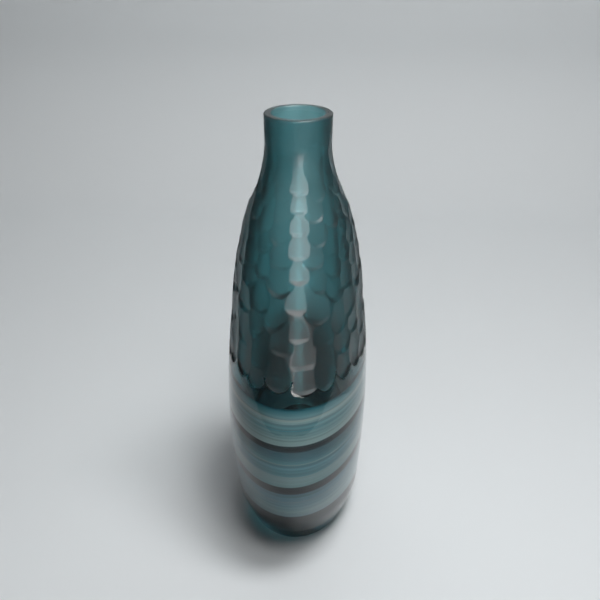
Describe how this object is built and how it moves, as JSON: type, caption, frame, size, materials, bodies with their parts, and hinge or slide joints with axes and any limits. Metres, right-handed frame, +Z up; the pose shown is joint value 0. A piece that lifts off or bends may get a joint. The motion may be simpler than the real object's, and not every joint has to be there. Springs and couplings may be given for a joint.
{
  "type": "flask vase",
  "caption": "Tall flattened flask vase of layered blown glass: round bored neck, hand cut satin scoops above, banded glossy glass below, solid foot.",
  "frame": {"origin": "on the table, under the middle of the foot", "axes": "+Z up through the middle of the neck; the narrow ends of the flattened body face -Y (front) and +Y, the broad faces look along +X and -X"},
  "size_m": [0.1314, 0.2674, 0.4],
  "materials": {
    "bubble_glass": "smooth pale teal glass, lining the inside",
    "teal_glass": "deep teal glass, wheel cut and left satin, glossy below the cuts",
    "clear_glass": "glossy clear casing",
    "opal_glass": "milky blue-grey opal glass with fine streaks",
    "charcoal_glass": "near black charcoal glass",
    "smoke_glass": "smoky purple-grey glass",
    "white_thread_glass": "milky white thread",
    "teal_thread_glass": "teal thread",
    "foot_glass": "thick clear pale blue glass, ground flat below"
  },
  "bodies": {
    "root": {"inner_bubble": "bubble_glass", "teal_overlay": "teal_glass", "clear_casing": "clear_glass", "opal_band_upper": "opal_glass", "opal_band_middle": "opal_glass", "opal_band_lower": "opal_glass", "charcoal_band_upper": "charcoal_glass", "charcoal_band_lower": "charcoal_glass", "smoke_foot_band": "smoke_glass", "white_threads": "white_thread_glass", "teal_threads": "teal_thread_glass", "foot_pad": "foot_glass"}
  },
  "joints": []
}
